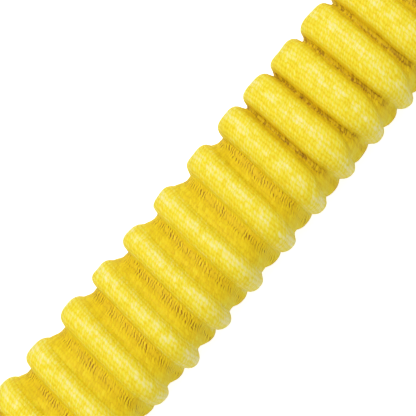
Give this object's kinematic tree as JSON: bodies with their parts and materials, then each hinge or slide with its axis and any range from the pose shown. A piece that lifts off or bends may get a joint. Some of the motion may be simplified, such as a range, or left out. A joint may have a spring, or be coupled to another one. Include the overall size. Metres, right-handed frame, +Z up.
{
  "type": "tow rope handle",
  "caption": "Foam gripped tow bar on a webbing bridle with a swivel, a gathered webbing sleeve over elastic cords as a shock line, and a snap hook.",
  "frame": {"origin": "on the surface that the object lies on, under the middle of its box", "axes": "+X from the rider's bar to the boat's hook, Y along the bar, +Z up"},
  "size_m": [0.7914, 0.3266, 0.033],
  "materials": {
    "gathered_webbing": "woven, matt with a slight sheen",
    "flat_webbing": "woven, matt with a slight sheen",
    "elastic_braid": "braided",
    "grip_foam": "matt closed cell foam",
    "black_rubber": "satin moulded",
    "aluminium": "drawn, satin",
    "stainless_steel": "polished",
    "spring_steel": "drawn wire"
  },
  "bodies": {
    "bridle": {"bridle_strap": "flat_webbing", "chafe_guard_left": "black_rubber", "chafe_guard_right": "black_rubber", "bridle_keeper": "black_rubber"},
    "hand_bar": {"handle_tube": "aluminium", "grip": "grip_foam", "end_cap_left": "black_rubber", "end_cap_right": "black_rubber"},
    "swivel_shaft": {"swivel_eye": "stainless_steel", "swivel_washer": "stainless_steel", "swivel_nut": "stainless_steel"},
    "swivel_hub": {"swivel_yoke": "stainless_steel"},
    "shock_line": {"handle_end_tab": "flat_webbing", "handle_end_clamp": "aluminium", "handle_end_collar": "black_rubber", "shock_sleeve": "gathered_webbing", "elastic_cord_left": "elastic_braid", "elastic_cord_right": "elastic_braid"},
    "boat_end": {"boat_end_clamp": "aluminium", "boat_end_collar": "black_rubber", "boat_end_tab": "flat_webbing"},
    "hook": {"hook_body": "stainless_steel", "gate_pin": "stainless_steel"},
    "gate": {"hook_gate": "stainless_steel", "gate_plunger": "spring_steel", "gate_spring": "spring_steel"}
  },
  "joints": [
    {"name": "bar_roll", "type": "hinge", "parent": "bridle", "child": "hand_bar", "pos_m": [-0.37917, 0, 0.0165], "axis": [0, 1, 0], "continuous": true},
    {"name": "eye_swing", "type": "hinge", "parent": "bridle", "child": "swivel_shaft", "pos_m": [-0.11617, 0, 0.0165], "axis": [0, 0, 1], "range_deg": [-75, 75]},
    {"name": "swivel_spin", "type": "hinge", "parent": "swivel_shaft", "child": "swivel_hub", "pos_m": [-0.08887, 0, 0.0165], "axis": [1, 0, 0], "continuous": true},
    {"name": "tab_pitch", "type": "hinge", "parent": "swivel_hub", "child": "shock_line", "pos_m": [-0.05487, 0, 0.0165], "axis": [0, 1, 0], "range_deg": [-80, 80]},
    {"name": "shock_stretch", "type": "slide", "parent": "shock_line", "child": "boat_end", "axis": [1, 0, 0], "range_m": [0, 0.09], "stiffness_N_per_m": 700, "deforming": ["shock_sleeve", "elastic_cord_left", "elastic_cord_right"]},
    {"name": "hook_pitch", "type": "hinge", "parent": "boat_end", "child": "hook", "pos_m": [0.32573, 0, 0.0065], "axis": [0, 1, 0], "range_deg": [-80, 80]},
    {"name": "gate_swing", "type": "hinge", "parent": "hook", "child": "gate", "pos_m": [0.34072, 0.0145, 0.00593], "axis": [0.0379, 0, 0.9993], "range_deg": [-30, 0], "stiffness_Nm_per_rad": 0.08, "springref_deg": 20.05}
  ]
}
